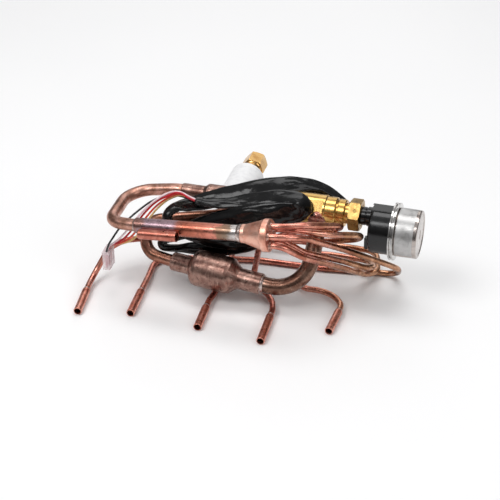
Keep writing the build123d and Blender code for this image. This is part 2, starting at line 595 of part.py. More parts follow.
PLUG_TOP = P(-109.8, -76.5, 35.4)
with BuildPart() as connector_housing:
    with BuildSketch(Plane(origin=PLUG_TOP, x_dir=Vector(1, 0, 0), z_dir=Vector(0, 0, 1))):
        RectangleRounded(6.4, 13.0, 0.8)
    extrude(amount=-16.5)
    with BuildSketch(Plane(origin=PLUG_TOP - Vector(0, 0, 4.0), x_dir=Vector(1, 0, 0), z_dir=Vector(0, 0, 1))):
        RectangleRounded(7.8, 14.2, 0.8)
    extrude(amount=-2.0)
    with BuildSketch(Plane(origin=PLUG_TOP - Vector(0, 0, 16.5), x_dir=Vector(1, 0, 0), z_dir=Vector(0, 0, -1))):
        with GridLocations(0, 2.5, 1, 5):
            Rectangle(1.6, 1.4)
    extrude(amount=-7.0, mode=Mode.SUBTRACT)

# ---------------------------------------------------------------- flared liquid line
NUT_Y = 40.0                      # rear face of the flare nut
SEAT = 8.5                        # from the rear face to the flare
with BuildPart() as liquid_pipe:
    pipe_start = liquid(0.0)
    flare_at = (liquid(NUT_Y) - pipe_start).length + SEAT
    r_out, r_in = LIQUID_D / 2, LIQUID_D / 2 - LIQUID_WALL
    with BuildSketch(axial(pipe_start, LIQ_DIR)):
        with BuildLine():
            Polyline((0, r_in), (0, r_out), (flare_at, r_out), (flare_at + 0.9, r_out + 0.9),
                     (flare_at + 1.4, r_out + 0.4), (flare_at + 0.33, r_in), close=True)
        make_face()
    revolve(axis=Axis(pipe_start, LIQ_DIR))

with BuildPart() as pipe_reducer:
    with BuildSketch(Plane(origin=liquid(0.2), z_dir=LIQ_DIR)):
        Circle(LINE_D / 2 - LINE_WALL - 0.05)
        Circle(LIQUID_D / 2 + 0.05, mode=Mode.SUBTRACT)
    extrude(amount=4.7)

with BuildPart() as flare_nut:
    nut_start = liquid(NUT_Y)
    with BuildSketch(Plane(origin=nut_start + LIQ_DIR * 5.6, x_dir=Vector(1, -0.018, 0).normalized(), z_dir=LIQ_DIR)):
        RegularPolygon(radius=NUT_AF / 2 / math.cos(math.pi / 6), side_count=6, rotation=12)
    extrude(amount=NUT_LEN - 5.6)
    with BuildSketch(axial(nut_start, LIQ_DIR)):
        with BuildLine():
            Polyline((0, 0), (0, 7.6), (0.5, 8.2), (2.4, 8.2), (3.1, 7.3), (5.0, 7.3), (5.7, 8.0), (5.7, 0),
                     close=True)
        make_face()
    revolve(axis=Axis(nut_start, LIQ_DIR))
    # chamfered hexagon corners
    with BuildSketch(axial(nut_start, LIQ_DIR)):
        with BuildLine():
            Polyline((5.0, 11), (5.0, 8.4), (6.2, 9.0), (7.2, 10.0), (NUT_LEN - 1.0, 10.0), (NUT_LEN, 8.6),
                     (NUT_LEN + 1, 8.4), (NUT_LEN + 1, 11), close=True)
        make_face()
    revolve(axis=Axis(nut_start, LIQ_DIR), mode=Mode.SUBTRACT)
    # pipe bore, flare seat and thread bore
    with BuildSketch(axial(nut_start, LIQ_DIR)):
        with BuildLine():
            Polyline((-1, 0), (-1, LIQUID_D / 2 + 0.075), (SEAT, LIQUID_D / 2 + 0.075),
                     (SEAT + 1.6, LIQUID_D / 2 + 1.675), (SEAT + 1.6, 5.55), (NUT_LEN - 0.5, 5.55),
                     (NUT_LEN, 6.05), (NUT_LEN + 1, 6.05), (NUT_LEN + 1, 0), close=True)
        make_face()
    revolve(axis=Axis(nut_start, LIQ_DIR), mode=Mode.SUBTRACT)

FOAM_A, FOAM_B = -8.0, 31.2
with BuildPart() as pipe_insulation:
    foam_len = (liquid(FOAM_B) - liquid(FOAM_A)).length
    with BuildSketch(axial(liquid(FOAM_A), LIQ_DIR)):
        with BuildLine():
            Polyline((0, LINE_D / 2 + 0.05), (0, FOAM_D / 2 - 0.6), (0.6, FOAM_D / 2), (foam_len - 0.6, FOAM_D / 2),
                     (foam_len, FOAM_D / 2 - 0.6), (foam_len, LIQUID_D / 2 + 0.05), (13.3, LIQUID_D / 2 + 0.05),
                     (13.3, LINE_D / 2 + 0.05), close=True)
        make_face()
    revolve(axis=Axis(liquid(FOAM_A), LIQ_DIR))

# ---------------------------------------------------------------- names and files
PIECES = {
    "distributor_cone": distributor_cone, "distributor_braze_ring": distributor_braze_ring,
    "distributor_inlet_tube": distributor_inlet_tube, "u_bend_tube": u_bend_tube,
    "u_bend_braze_ring": u_bend_braze_ring, "rear_strainer_shell": rear_strainer_shell,
    "rear_strainer_screen": rear_strainer_screen, "sensor_pocket": sensor_pocket,
    "feeder_tube_1": feeder_tube_1, "feeder_tube_2": feeder_tube_2, "feeder_tube_3": feeder_tube_3,
    "feeder_tube_4": feeder_tube_4, "feeder_tube_5": feeder_tube_5,
    "outlet_socket_1": outlet_socket_1, "outlet_socket_2": outlet_socket_2, "outlet_socket_3": outlet_socket_3,
    "outlet_socket_4": outlet_socket_4, "outlet_socket_5": outlet_socket_5,
    "strainer_shell": strainer_shell, "strainer_screen": strainer_screen,
    "strainer_braze_ring": strainer_braze_ring, "strainer_inlet_tube": strainer_inlet_tube,
    "valve_inlet_elbow": valve_inlet_elbow, "valve_port_collar": valve_port_collar, "valve_body": valve_body,
    "valve_lock_nut": valve_lock_nut, "motor_neck": motor_neck, "motor_housing": motor_housing,
    "motor_flange": motor_flange, "motor_can": motor_can, "lead_grommet": lead_grommet,
    "lead_sleeve_start": lead_sleeve_start, "lead_sleeve_hank": lead_sleeve_hank,
    "lead_wire_black": lead_wire_black, "lead_wire_white": lead_wire_white, "lead_wire_red": lead_wire_red,
    "lead_wire_orange": lead_wire_orange, "lead_wire_yellow": lead_wire_yellow,
    "connector_housing": connector_housing, "liquid_pipe": liquid_pipe, "pipe_reducer": pipe_reducer,
    "flare_nut": flare_nut, "pipe_insulation": pipe_insulation,
}
for piece_name, piece in PIECES.items():
    piece.part.label = piece_name
    export_step(piece.part, "parts/" + piece_name + ".step")
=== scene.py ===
import math

import bpy
from mathutils import Matrix, Vector, noise


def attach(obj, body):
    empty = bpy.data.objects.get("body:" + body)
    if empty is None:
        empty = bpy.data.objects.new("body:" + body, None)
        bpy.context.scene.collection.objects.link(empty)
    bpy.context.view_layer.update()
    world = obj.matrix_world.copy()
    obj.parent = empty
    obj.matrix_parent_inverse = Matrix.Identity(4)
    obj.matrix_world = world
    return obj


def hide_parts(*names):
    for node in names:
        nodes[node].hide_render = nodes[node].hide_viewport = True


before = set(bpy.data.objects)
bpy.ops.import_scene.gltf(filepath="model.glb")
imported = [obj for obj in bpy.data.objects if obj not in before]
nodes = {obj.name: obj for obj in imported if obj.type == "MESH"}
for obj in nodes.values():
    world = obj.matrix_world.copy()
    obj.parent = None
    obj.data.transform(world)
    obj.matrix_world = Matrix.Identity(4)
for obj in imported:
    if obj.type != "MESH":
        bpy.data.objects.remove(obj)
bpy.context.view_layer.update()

scene = bpy.context.scene
MM = 0.001


def P(x, y, z):
    """A point of the route, in metres, in the row frame."""
    return Vector(((x - 0.904) * MM, (y + 31.722) * MM, z * MM))


def srgb(r, g, b):
    def lin(v):
        v /= 255.0
        return v / 12.92 if v <= 0.04045 else ((v + 0.055) / 1.055) ** 2.4
    return (lin(r), lin(g), lin(b), 1.0)


# ------------------------------------------------------------------ camera
AZ, EL = math.radians(14.0), math.radians(32.0)
look = Vector((math.sin(AZ) * math.cos(EL), -math.cos(AZ) * math.cos(EL), math.sin(EL)))
right = Vector((math.cos(AZ), math.sin(AZ), 0.0))
up = Vector((-math.sin(AZ) * math.sin(EL), math.cos(AZ) * math.sin(EL), math.cos(EL)))
cam_data = bpy.data.cameras.new("camera")
cam_data.lens = 93.6
cam_data.sensor_width = 36.0
cam_data.sensor_fit = "HORIZONTAL"
cam_data.clip_start = 0.05
cam_data.clip_end = 50.0
camera = bpy.data.objects.new("camera", cam_data)
scene.collection.objects.link(camera)
turn = Matrix((right, up, look)).transposed().to_4x4()
camera.matrix_world = Matrix.Translation(P(205.16, -882.85, 569.92)) @ turn
scene.camera = camera


# ------------------------------------------------------------------ helpers for shapes
def link(obj, material=None):
    scene.collection.objects.link(obj)
    if material is not None:
        obj.data.materials.clear()
        obj.data.materials.append(material)
    return obj


def mesh_object(name, verts, faces, material=None, smooth=True):
    me = bpy.data.meshes.new(name)
    me.from_pydata([tuple(v) for v in verts], [], faces)
    me.update()
    if smooth:
        me.polygons.foreach_set("use_smooth", [True] * len(me.polygons))
    return link(bpy.data.objects.new(name, me), material)


def spline(name, points, resolution=12):
    """A NURBS curve with those control points."""
    cu = bpy.data.curves.new(name, "CURVE")
    cu.dimensions = "3D"
    cu.resolution_u = resolution
    sp = cu.splines.new("NURBS")
    sp.points.add(len(points) - 1)
    for i, p in enumerate(points):
        sp.points[i].co = (p[0], p[1], p[2], 1.0)
    sp.order_u = 3
    sp.use_endpoint_u = True
    return cu


def line_of(cu, name):
    """The points of a curve with no bevel, in order."""
    helper = bpy.data.objects.new(name, cu)
    scene.collection.objects.link(helper)
    bpy.context.view_layer.update()
    me = bpy.data.meshes.new_from_object(helper)
    pts = [v.co.copy() for v in me.vertices]
    bpy.data.meshes.remove(me)
    bpy.data.objects.remove(helper)
    return pts


def along(values, t):
    """The value at t (0 to 1) of a list spaced evenly, eased between its entries."""
    f = t * (len(values) - 1)
    i = min(int(f), len(values) - 2)
    u = f - i
    u = u * u * (3 - 2 * u)
    return values[i] * (1 - u) + values[i + 1] * u


def ring_lathe(name, parts, material, segments=48, wobble=0.0, seed=0.0):
    """Closed rings turned about their own axes, joined in one mesh. parts: (centre, axis, profile of (along, radius) in mm)."""
    verts, faces = [], []
    for k, (centre, axis, profile) in enumerate(parts):
        axis = axis.normalized()
        a = axis.orthogonal().normalized()
        b = axis.cross(a)
        base = len(verts)
        m = len(profile)
        for i in range(segments):
            th = 2 * math.pi * i / segments
            out = a * math.cos(th) + b * math.sin(th)
            for x, r in profile:
                w = wobble * noise.noise(Vector((math.cos(th) * 1.7 + k * 9.1 + seed, math.sin(th) * 1.7, x * 0.8)))
                verts.append(centre + axis * (x + w * 0.5) * MM + out * (r + w) * MM)
        for i in range(segments):
            j = (i + 1) % segments
            for q in range(m):
                n = (q + 1) % m
                faces.append((base + i * m + q, base + j * m + q, base + j * m + n, base + i * m + n))
    return mesh_object(name, verts, faces, material)


# ------------------------------------------------------------------ helpers for materials
class Look:
    """A procedural material in the row frame's own coordinates."""

    def __init__(self, name):
        self.m = bpy.data.materials.new(name)
        self.m.use_nodes = True
        self.t = self.m.node_tree
        self.t.nodes.clear()
        self.out = self.t.nodes.new("ShaderNodeOutputMaterial")
        self.b = self.t.nodes.new("ShaderNodeBsdfPrincipled")
        self.t.links.new(self.b.outputs[0], self.out.inputs[0])
        self.pos = self.t.nodes.new("ShaderNodeTexCoord").outputs["Object"]
        self.heights = []

    def wire(self, a, b):
        self.t.links.new(a, b)

    def set(self, **values):
        for k, v in values.items():
            self.b.inputs[k.replace("_", " ")].default_value = v
        return self

    def stretched(self, scale=(1, 1, 1), turn=(0, 0, 0)):
        n = self.t.nodes.new("ShaderNodeMapping")
        n.inputs["Scale"].default_value = scale
        n.inputs["Rotation"].default_value = turn
        self.wire(self.pos, n.inputs["Vector"])
        return n.outputs[0]

    def noise(self, scale, detail=4.0, rough=0.55, distortion=0.0, vector=None):
        n = self.t.nodes.new("ShaderNodeTexNoise")
        n.inputs["Scale"].default_value = scale
        n.inputs["Detail"].default_value = detail
        n.inputs["Roughness"].default_value = rough
        n.inputs["Distortion"].default_value = distortion
        self.wire(vector if vector is not None else self.pos, n.inputs["Vector"])
        return n.outputs["Fac"]

    def ramp(self, fac, stops, ease="EASE"):
        n = self.t.nodes.new("ShaderNodeValToRGB")
        n.color_ramp.interpolation = ease
        el = n.color_ramp.elements
        while len(el) > 1:
            el.remove(el[-1])
        el[0].position, el[0].color = stops[0][0], stops[0][1]
        for p, c in stops[1:]:
            e = el.new(p)
            e.color = c
        self.wire(fac, n.inputs["Fac"])
        return n.outputs["Color"]

    def span(self, fac, lo, hi, a=0.0, b=1.0):
        n = self.t.nodes.new("ShaderNodeMapRange")
        n.inputs["From Min"].default_value = lo
        n.inputs["From Max"].default_value = hi
        n.inputs["To Min"].default_value = a
        n.inputs["To Max"].default_value = b
        self.wire(fac, n.inputs["Value"])
        return n.outputs["Result"]

    def mix(self, fac, a, b, blend="MIX"):
        n = self.t.nodes.new("ShaderNodeMix")
        n.data_type = "RGBA"
        n.blend_type = blend
        for value, sock in ((fac, n.inputs[0]), (a, n.inputs[6]), (b, n.inputs[7])):
            if isinstance(value, (int, float, tuple)):
                sock.default_value = value
            else:
                self.wire(value, sock)
        return n.outputs[2]

    def math(self, op, a, b):
        n = self.t.nodes.new("ShaderNodeMath")
        n.operation = op
        for value, sock in ((a, n.inputs[0]), (b, n.inputs[1])):
            if isinstance(value, (int, float)):
                sock.default_value = value
            else:
                self.wire(value, sock)
        return n.outputs[0]

    def axis(self, which):
        n = self.t.nodes.new("ShaderNodeSeparateXYZ")
        self.wire(self.pos, n.inputs[0])
        return n.outputs[which]

    def color(self, value):
        self.wire(value, self.b.inputs["Base Color"])
        return self

    def rough(self, fac, lo, hi, a=0.35, b=0.65):
        self.wire(self.span(fac, a, b, lo, hi), self.b.inputs["Roughness"])
        return self

    def bump(self, height, distance, strength=1.0):
        n = self.t.nodes.new("ShaderNodeBump")
        n.inputs["Strength"].default_value = strength
        n.inputs["Distance"].default_value = distance
        self.wire(height, n.inputs["Height"])
        if self.heights:
            self.wire(self.heights[-1], n.inputs["Normal"])
        self.heights.append(n.outputs[0])
        self.wire(n.outputs[0], self.b.inputs["Normal"])
        return self


def metal(name, stops, scale=70.0, rough=(0.22, 0.40), fine=900.0, dent=0.00006, grain=0.000012, distortion=1.2,
          dark=None, painted_highlight=None, streak=None, zone=None):
    """Brown, pink and grey patches of handled copper or brass, darker patches, pale pink patches that are painted
    highlights, and fine scratches.
    """
    k = Look(name)
    k.set(Metallic=1.0, IOR=1.45)
    big = k.noise(scale, 5.0, 0.6, distortion)
    col = k.ramp(big, stops)
    if zone is not None:
        shift = k.math("ADD", k.axis(0), k.span(k.noise(60, 3, 0.5, 0.6), 0.3, 0.7, -0.012, 0.012))
        col = k.mix(k.span(shift, zone[0], zone[1]), col, k.ramp(big, zone[2]))
    if streak is not None:
        s = k.noise(1.0, 3.0, 0.6, 0.3, k.stretched(streak[0]))
        col = k.mix(k.span(s, streak[2], streak[3], 0.0, streak[4]), col, streak[1])
    if dark is not None:
        d = k.noise(scale * 2.7, 6.0, 0.7, 2.0)
        col = k.mix(k.span(d, 0.52, 0.70, 0.0, dark[1]), col, dark[0])
    # pale pinkish patches mixed into the colour: painted highlights
    if painted_highlight is not None:
        d = k.noise(scale * 3.3, 4.0, 0.6, 0.8, k.stretched((1, 1, 1), (0.4, 0.7, 0.2)))
        col = k.mix(k.span(d, 0.56, 0.72, 0.0, painted_highlight[1]), col, painted_highlight[0])
    k.color(col)
    k.rough(k.noise(scale * 4, 4.0, 0.6), rough[0], rough[1])
    k.bump(k.noise(scale * 1.6, 2.0, 0.5), dent)
    k.bump(k.noise(fine, 4.0, 0.7), grain)
    return k


# ------------------------------------------------------------------ cords: the soft sleeve
SLEEVE = [
    # x, y, z, width, thickness, broad side faces
    (87.0, -25.2, 59.0, 7.0, 6.6, (0, -0.6, 0.8)),
    (79.5, -24.8, 58.9, 7.4, 6.2, (0, -0.6, 0.8)),
    (66.0, -19.5, 66.5, 8.5, 5.6, (0, -0.6, 0.8)),
    (54.0, -17.0, 74.5, 9.5, 5.0, (0, -0.6, 0.8)),
    (41.0, -19.5, 80.5, 12.0, 4.6, (0, -0.6, 0.8)),
    (28.0, -27.0, 83.5, 15.0, 4.2, (0, -0.6, 0.8)),
    (14.0, -34.0, 83.5, 17.0, 4.0, (0, -0.65, 0.75)),
    (1.2, -39.5, 81.9, 17.0, 4.0, (0, -0.65, 0.75)),
    (-16.1, -43.0, 77.9, 16.5, 4.0, (0, -0.65, 0.75)),
    (-32.8, -46.0, 72.8, 15.5, 4.0, (0, -0.6, 0.8)),
    (-48.6, -50.0, 68.4, 14.0, 4.2, (-0.1, -0.5, 0.85)),
    (-60.5, -56.0, 67.9, 12.0, 6.6, (-0.5, -0.2, 0.85)),
    (-65.7, -62.0, 63.0, 11.5, 7.6, (-1, 0, 0.2)),
    (-62.4, -64.5, 55.1, 11.5, 7.2, (-0.8, -0.2, -0.6)),
    (-48.6, -63.0, 47.2, 12.0, 5.8, (-0.3, -0.7, -0.6)),
    (-30.7, -58.5, 41.8, 12.5, 4.2, (0, -1, 0.1)),
    (-12.2, -56.0, 41.7, 12.5, 4.0, (0, -1, 0.3)),
    (1.0, -54.5, 45.0, 11.5, 4.0, (0, -1, 0.2)),
    (8.6, -56.5, 49.6, 9.5, 4.2, (1, -0.1, 0.4)),
    (7.7, -61.0, 48.1, 9.5, 4.2, (1, -0.5, -0.3)),
    (-7.1, -57.0, 39.4, 11.5, 4.0, (0, -1, 0.2)),
    (-27.6, -52.5, 32.2, 12.0, 4.0, (0, -1, 0.3)),
    (-49.0, -52.0, 29.6, 12.0, 4.2, (0, -1, 0.4)),
    (-64.2, -56.0, 29.3, 11.0, 5.6, (-0.3, -0.6, -0.7)),
    (-72.2, -60.0, 32.6, 10.5, 6.2, (-1, -0.2, 0.0)),
    (-71.8, -57.5, 37.6, 10.5, 5.6, (-0.9, -0.2, 0.4)),
    (-55.4, -56.5, 46.0, 12.5, 4.2, (-0.3, -0.8, 0.5)),
    (-35.1, -59.0, 56.7, 15.0, 4.0, (0, -0.8, 0.5)),
    (-15.4, -61.0, 66.5, 16.0, 4.0, (0, -0.8, 0.5)),
    (4.1, -61.0, 73.3, 16.5, 4.0, (0, -0.8, 0.5)),
    (23.2, -60.0, 76.3, 17.0, 4.0, (0, -0.8, 0.5)),
    (35.9, -58.5, 76.3, 17.5, 4.2, (0.4, -0.6, 0.2)),
    (41.6, -55.0, 80.4, 17.5, 4.6, (1, -0.1, 0.2)),
    (38.1, -51.5, 85.7, 16.5, 4.4, (0.6, 0.2, 0.9)),
    (24.5, -49.0, 85.0, 15.5, 4.2, (0, -0.2, 1.0)),
    (6.8, -49.5, 80.3, 15.0, 4.0, (0, -0.55, 0.85)),
    (-11.5, -51.5, 75.8, 14.0, 4.2, (0, -0.6, 0.8)),
    (-30.1, -53.0, 72.7, 12.5, 4.8, (0, -0.3, 0.95)),
    (-44.1, -54.0, 74.0, 10.6, 5.6, (0, 0.3, 0.95)),
]
sleeve_points = [P(*row[:3]) for row in SLEEVE]
sleeve_line = line_of(spline("sleeve_route", sleeve_points, 10), "sleeve_route_helper")


def flat_sleeve(name, line, rows, sides=44):
    """A soft flat tube: a lens-shaped section with creases, carried along the line."""
    count = len(line)
    tangents = []
    for i in range(count):
        a, b = line[max(0, i - 1)], line[min(count - 1, i + 1)]
        tangents.append((b - a).normalized())
    # frames that turn as little as they can
    carried = [tangents[0].orthogonal().normalized()]
    for i in range(1, count):
        q = tangents[i - 1].rotation_difference(tangents[i])
        v = q @ carried[-1]
        carried.append((v - tangents[i] * v.dot(tangents[i])).normalized())
    # the angle from each frame to the side that the row asks for, kept to the nearest half turn
    angles, previous = [], None
    for k, row in enumerate(rows):
        i = round(k / (len(rows) - 1) * (count - 1))
        want = Vector(row[5])
        want = want - tangents[i] * want.dot(tangents[i])
        side = tangents[i].cross(carried[i])
        a = math.atan2(want.dot(side), want.dot(carried[i]))
        if previous is not None:
            while a - previous > math.pi / 2:
                a -= math.pi
            while a - previous < -math.pi / 2:
                a += math.pi
        angles.append(a)
        previous = a
    eased = list(angles)
    for _ in range(2):
        eased = [eased[0]] + [0.25 * eased[i - 1] + 0.5 * eased[i] + 0.25 * eased[i + 1]
                              for i in range(1, len(eased) - 1)] + [eased[-1]]
    widths = [row[3] for row in rows]
    thick = [row[4] for row in rows]
    gone = 0.0
    verts, faces = [], []
    for i in range(count):
        if i:
            gone += (line[i] - line[i - 1]).length / MM
        t = i / (count - 1)
        a = along(eased, t)
        w, h = along(widths, t) / 2, along(thick, t) / 2
        broad = carried[i] * math.cos(a) + tangents[i].cross(carried[i]) * math.sin(a)
        across = broad.cross(tangents[i]).normalized()
        calm = min(1.0, gone / 14.0, (1 - t) * 40)
        w *= 1 + 0.10 * calm * noise.noise(Vector((gone / 21.0, 3.1, 0.0)))
        for j in range(sides):
            th = 2 * math.pi * j / sides
            c, s = math.cos(th), math.sin(th)
            u = math.copysign(abs(c) ** 0.85, c)
            v = math.copysign(abs(s) ** 1.15, s)
            face = 1.0 if s >= 0 else -1.0
            wave = noise.noise(Vector((u * 1.5 + 0.5 * noise.noise(Vector((gone / 16.0, 7.7, 0))), gone / 26.0, 1.0)))
            crease = noise.noise(Vector((u * 3.6 + 0.9 * noise.noise(Vector((gone / 11.0, 1.3, 5.0))), gone / 34.0,
                                         4.0 + face * 2.0)))
            crease = -abs(crease) * 1.6 + 0.35
            across_fold = noise.noise(Vector((gone / 4.2 + u * 1.3, u * 0.8, 9.0 + face)))
            edge = 1 - 0.75 * abs(u) ** 3
            d = calm * edge * (0.85 * wave + face * abs(s) * 0.62 * crease + face * abs(s) * 0.20 * across_fold)
            verts.append(line[i] + across * (u * w * MM) + broad * ((v * h + d) * MM))
    for i in range(count - 1):
        for j in range(sides):
            n = (j + 1) % sides
            faces.append((i * sides + j, i * sides + n, (i + 1) * sides + n, (i + 1) * sides + j))
    # turned-in mouths at both ends
    for end in (0, count - 1):
        rim = range(end * sides, end * sides + sides)
        centre = sum((Vector(verts[r]) for r in rim), Vector()) / sides
        inward = tangents[end] * (0.0035 if end == 0 else -0.0035)
        first = len(verts)
        for r in rim:
            verts.append(centre + (Vector(verts[r]) - centre) * 0.80)
        second = len(verts)
        for r in rim:
            verts.append(centre + (Vector(verts[r]) - centre) * 0.74 + inward)
        middle = len(verts)
        verts.append(centre + inward)
        for j in range(sides):
            n = (j + 1) % sides
            quad = (end * sides + j, first + j, first + n, end * sides + n)
            deep = (first + j, second + j, second + n, first + n)
            cap = (second + j, middle, second + n)
            if end == 0:
                faces += [quad, deep, cap]
            else:
                faces += [quad[::-1], deep[::-1], cap[::-1]]
    return mesh_object(name, verts, faces)


sleeve = flat_sleeve("motor_lead_sleeve", sleeve_line, SLEEVE)
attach(sleeve, "assembly")
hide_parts("lead_sleeve_start", "lead_sleeve_hank")

# ------------------------------------------------------------------ cords: the five leads
LEADS = {
    "black": [(-41.5, -52.2, 72.7), (-48.7, -49.6, 71.3), (-57.0, -49.0, 74.0), (-67.6, -50.5, 74.0),
              (-78.8, -54.3, 70.3), (-85.9, -61.6, 66.1), (-92.8, -69.4, 61.2), (-99.9, -73.4, 53.9),
              (-104.8, -77.4, 46.0), (-108.8, -80.6, 39.0), (-109.8, -81.3, 32.5)],
    "white": [(-41.5, -54.8, 75.0), (-47.9, -54.2, 76.3), (-57.1, -53.8, 80.9), (-66.3, -53.4, 78.3),
              (-75.4, -59.2, 73.4), (-83.3, -63.2, 65.7), (-90.3, -67.7, 57.4), (-95.9, -71.7, 49.0),
              (-102.9, -75.7, 41.6), (-109.0, -78.3, 38.0), (-109.8, -78.8, 32.5)],
    "red": [(-41.5, -56.4, 74.8), (-48.2, -56.5, 76.3), (-56.8, -55.9, 81.7), (-65.9, -54.9, 76.3),
            (-74.8, -57.5, 71.7), (-82.3, -61.5, 63.9), (-88.5, -66.0, 55.8), (-94.2, -70.0, 46.5),
            (-101.3, -73.6, 39.6), (-109.0, -76.0, 37.6), (-109.8, -76.4, 32.5)],
    "orange": [(-41.5, -53.9, 74.2), (-48.0, -53.0, 74.6), (-56.3, -53.0, 78.8), (-65.3, -52.8, 74.3),
               (-73.8, -55.8, 68.6), (-80.6, -59.8, 61.0), (-86.4, -64.3, 52.4), (-92.4, -68.3, 43.4),
               (-100.4, -71.6, 37.8), (-109.2, -73.8, 37.2), (-109.9, -74.1, 32.5)],
    "yellow": [(-41.5, -53.0, 73.5), (-48.1, -51.3, 73.2), (-56.0, -51.3, 77.0), (-67.6, -51.1, 70.8),
               (-75.0, -54.1, 63.9), (-80.5, -58.1, 56.9), (-85.5, -62.6, 47.9), (-91.6, -66.6, 39.8),
               (-100.3, -69.6, 36.2), (-109.2, -71.6, 36.6), (-109.9, -71.8, 32.5)],
}


def round_lead(name, line, radius=0.0008, sides=12):
    """A round tube with closed ends along the line."""
    count = len(line)
    verts, faces = [], []
    tangent = (line[1] - line[0]).normalized()
    a = tangent.orthogonal().normalized()
    for i in range(count):
        t = (line[min(count - 1, i + 1)] - line[max(0, i - 1)]).normalized()
        a = tangent.rotation_difference(t) @ a
        a = (a - t * a.dot(t)).normalized()
        tangent = t
        b = t.cross(a)
        for j in range(sides):
            th = 2 * math.pi * j / sides
            verts.append(line[i] + (a * math.cos(th) + b * math.sin(th)) * radius)
    for i in range(count - 1):
        for j in range(sides):
            n = (j + 1) % sides
            faces.append((i * sides + j, i * sides + n, (i + 1) * sides + n, (i + 1) * sides + j))
    faces.append(tuple(range(sides))[::-1])
    faces.append(tuple((count - 1) * sides + j for j in range(sides)))
    return mesh_object(name, verts, faces)


lead_objects, lead_lines = {}, {}
for colour, pts in LEADS.items():
    lead_lines[colour] = line_of(spline("lead_" + colour, [P(*p) for p in pts], 14), "lead_helper_" + colour)
    obj = round_lead("motor_lead_" + colour, lead_lines[colour])
    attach(obj, "assembly")
    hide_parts("lead_wire_" + colour)
    lead_objects[colour] = obj

# ------------------------------------------------------------------ the plug on the leads
PLUG = P(-109.8, -76.5, 35.0)      # middle of its top


def boxes(name, parts, material, bevel=0.35):
    """Bevelled blocks joined in one mesh. parts: (centre offset, size) in mm from the plug's top."""
    import bmesh
    bm = bmesh.new()
    for (x, y, z), (sx, sy, sz) in parts:
        made = bmesh.ops.create_cube(bm, size=1.0)
        for v in made["verts"]:
            v.co = PLUG + Vector(((x + v.co.x * sx) * MM, (y + v.co.y * sy) * MM, (z + v.co.z * sz) * MM))
    bmesh.ops.bevel(bm, geom=list(bm.edges), offset=bevel * MM, segments=2, affect="EDGES", profile=0.6)
    me = bpy.data.meshes.new(name)
    bm.to_mesh(me)
    bm.free()
    me.polygons.foreach_set("use_smooth", [True] * len(me.polygons))
    return link(bpy.data.objects.new(name, me), material)


# ------------------------------------------------------------------ materials
def rgb(*v):
    return srgb(*v)


# the pale pinkish colour given to each metal below is a painted highlight, mixed in as patches
cone_look = metal("cone_copper", [(0.30, rgb(184, 120, 100)), (0.48, rgb(230, 168, 146)), (0.62, rgb(240, 190, 170)),
                                  (0.75, rgb(218, 160, 142))], 46, (0.34, 0.50), dent=0.00003,
                  painted_highlight=(rgb(246, 214, 200), 0.35))

# inlet tube: grey-purple heat tint, then orange, then olive, then a bright ring at the joint
near_look = Look("inlet_tube_copper")
near_look.set(Metallic=1.0)
nx = near_look.axis(0)
nwarp = near_look.noise(90, 3, 0.5, 0.6)
nshift = near_look.math("ADD", nx, near_look.span(nwarp, 0.3, 0.7, -0.004, 0.004))
nfac = near_look.span(nshift, -0.082, 0.003)
ncol = near_look.ramp(nfac, [(0.00, rgb(150, 112, 104)), (0.10, rgb(158, 134, 142)), (0.33, rgb(166, 140, 148)),
                             (0.395, rgb(164, 104, 90)), (0.50, rgb(172, 100, 80)), (0.62, rgb(196, 118, 98)),
                             (0.745, rgb(214, 138, 120)), (0.80, rgb(150, 116, 96)), (0.89, rgb(142, 120, 104)),
                             (0.935, rgb(190, 182, 178)), (0.97, rgb(214, 208, 206)), (1.0, rgb(150, 118, 108))])
nspot = near_look.noise(230, 6, 0.7, 1.5)
ncol = near_look.mix(near_look.span(nspot, 0.50, 0.72, 0.0, 0.55), ncol, rgb(92, 66, 60))
near_look.color(ncol)
near_look.rough(near_look.noise(300, 4, 0.6), 0.24, 0.42)
near_look.bump(near_look.noise(140, 2, 0.5), 0.00005)
near_look.bump(near_look.noise(900, 4, 0.7), 0.000012)

u_look = metal("u_bend_copper", [(0.28, rgb(132, 94, 78)), (0.44, rgb(184, 136, 118)), (0.56, rgb(210, 162, 146)),
                                 (0.70, rgb(162, 118, 102))], 60, (0.26, 0.42), dark=(rgb(84, 56, 46), 0.55),
               painted_highlight=(rgb(214, 178, 168), 0.4))
line_look = metal("loop_copper", [(0.28, rgb(92, 62, 50)), (0.45, rgb(142, 98, 80)), (0.57, rgb(170, 122, 104)),
                                  (0.70, rgb(116, 78, 62))], 64, (0.24, 0.40), dark=(rgb(60, 40, 34), 0.6),
                  painted_highlight=(rgb(206, 172, 158), 0.35))
elbow_look = metal("elbow_copper", [(0.28, rgb(80, 54, 44)), (0.45, rgb(124, 92, 78)), (0.58, rgb(150, 118, 102)),
                                    (0.72, rgb(98, 70, 58))], 58, (0.22, 0.38), dark=(rgb(48, 32, 28), 0.6),
                   painted_highlight=(rgb(196, 172, 158), 0.35))
strainer_look = metal("strainer_copper", [(0.26, rgb(84, 60, 52)), (0.42, rgb(132, 100, 90)),
                                          (0.56, rgb(166, 132, 120)), (0.70, rgb(112, 82, 74))], 66, (0.26, 0.44),
                      dark=(rgb(62, 42, 38), 0.55), painted_highlight=(rgb(218, 190, 176), 0.45),
                      streak=((900, 60, 60), rgb(84, 58, 50), 0.55, 0.70, 0.65))
feeder_look = metal("feeder_copper", [(0.26, rgb(126, 72, 60)), (0.42, rgb(190, 114, 98)), (0.55, rgb(220, 148, 130)),
                                      (0.68, rgb(172, 104, 84)), (0.80, rgb(116, 76, 60))], 38, (0.20, 0.34),
                    dent=0.000015, dark=(rgb(70, 38, 30), 0.4), painted_highlight=(rgb(226, 184, 172), 0.4),
                    zone=(0.044, 0.080, [(0.28, rgb(112, 76, 56)), (0.48, rgb(170, 120, 90)), (0.62, rgb(206, 158, 126)),
                                         (0.78, rgb(128, 86, 62))]))
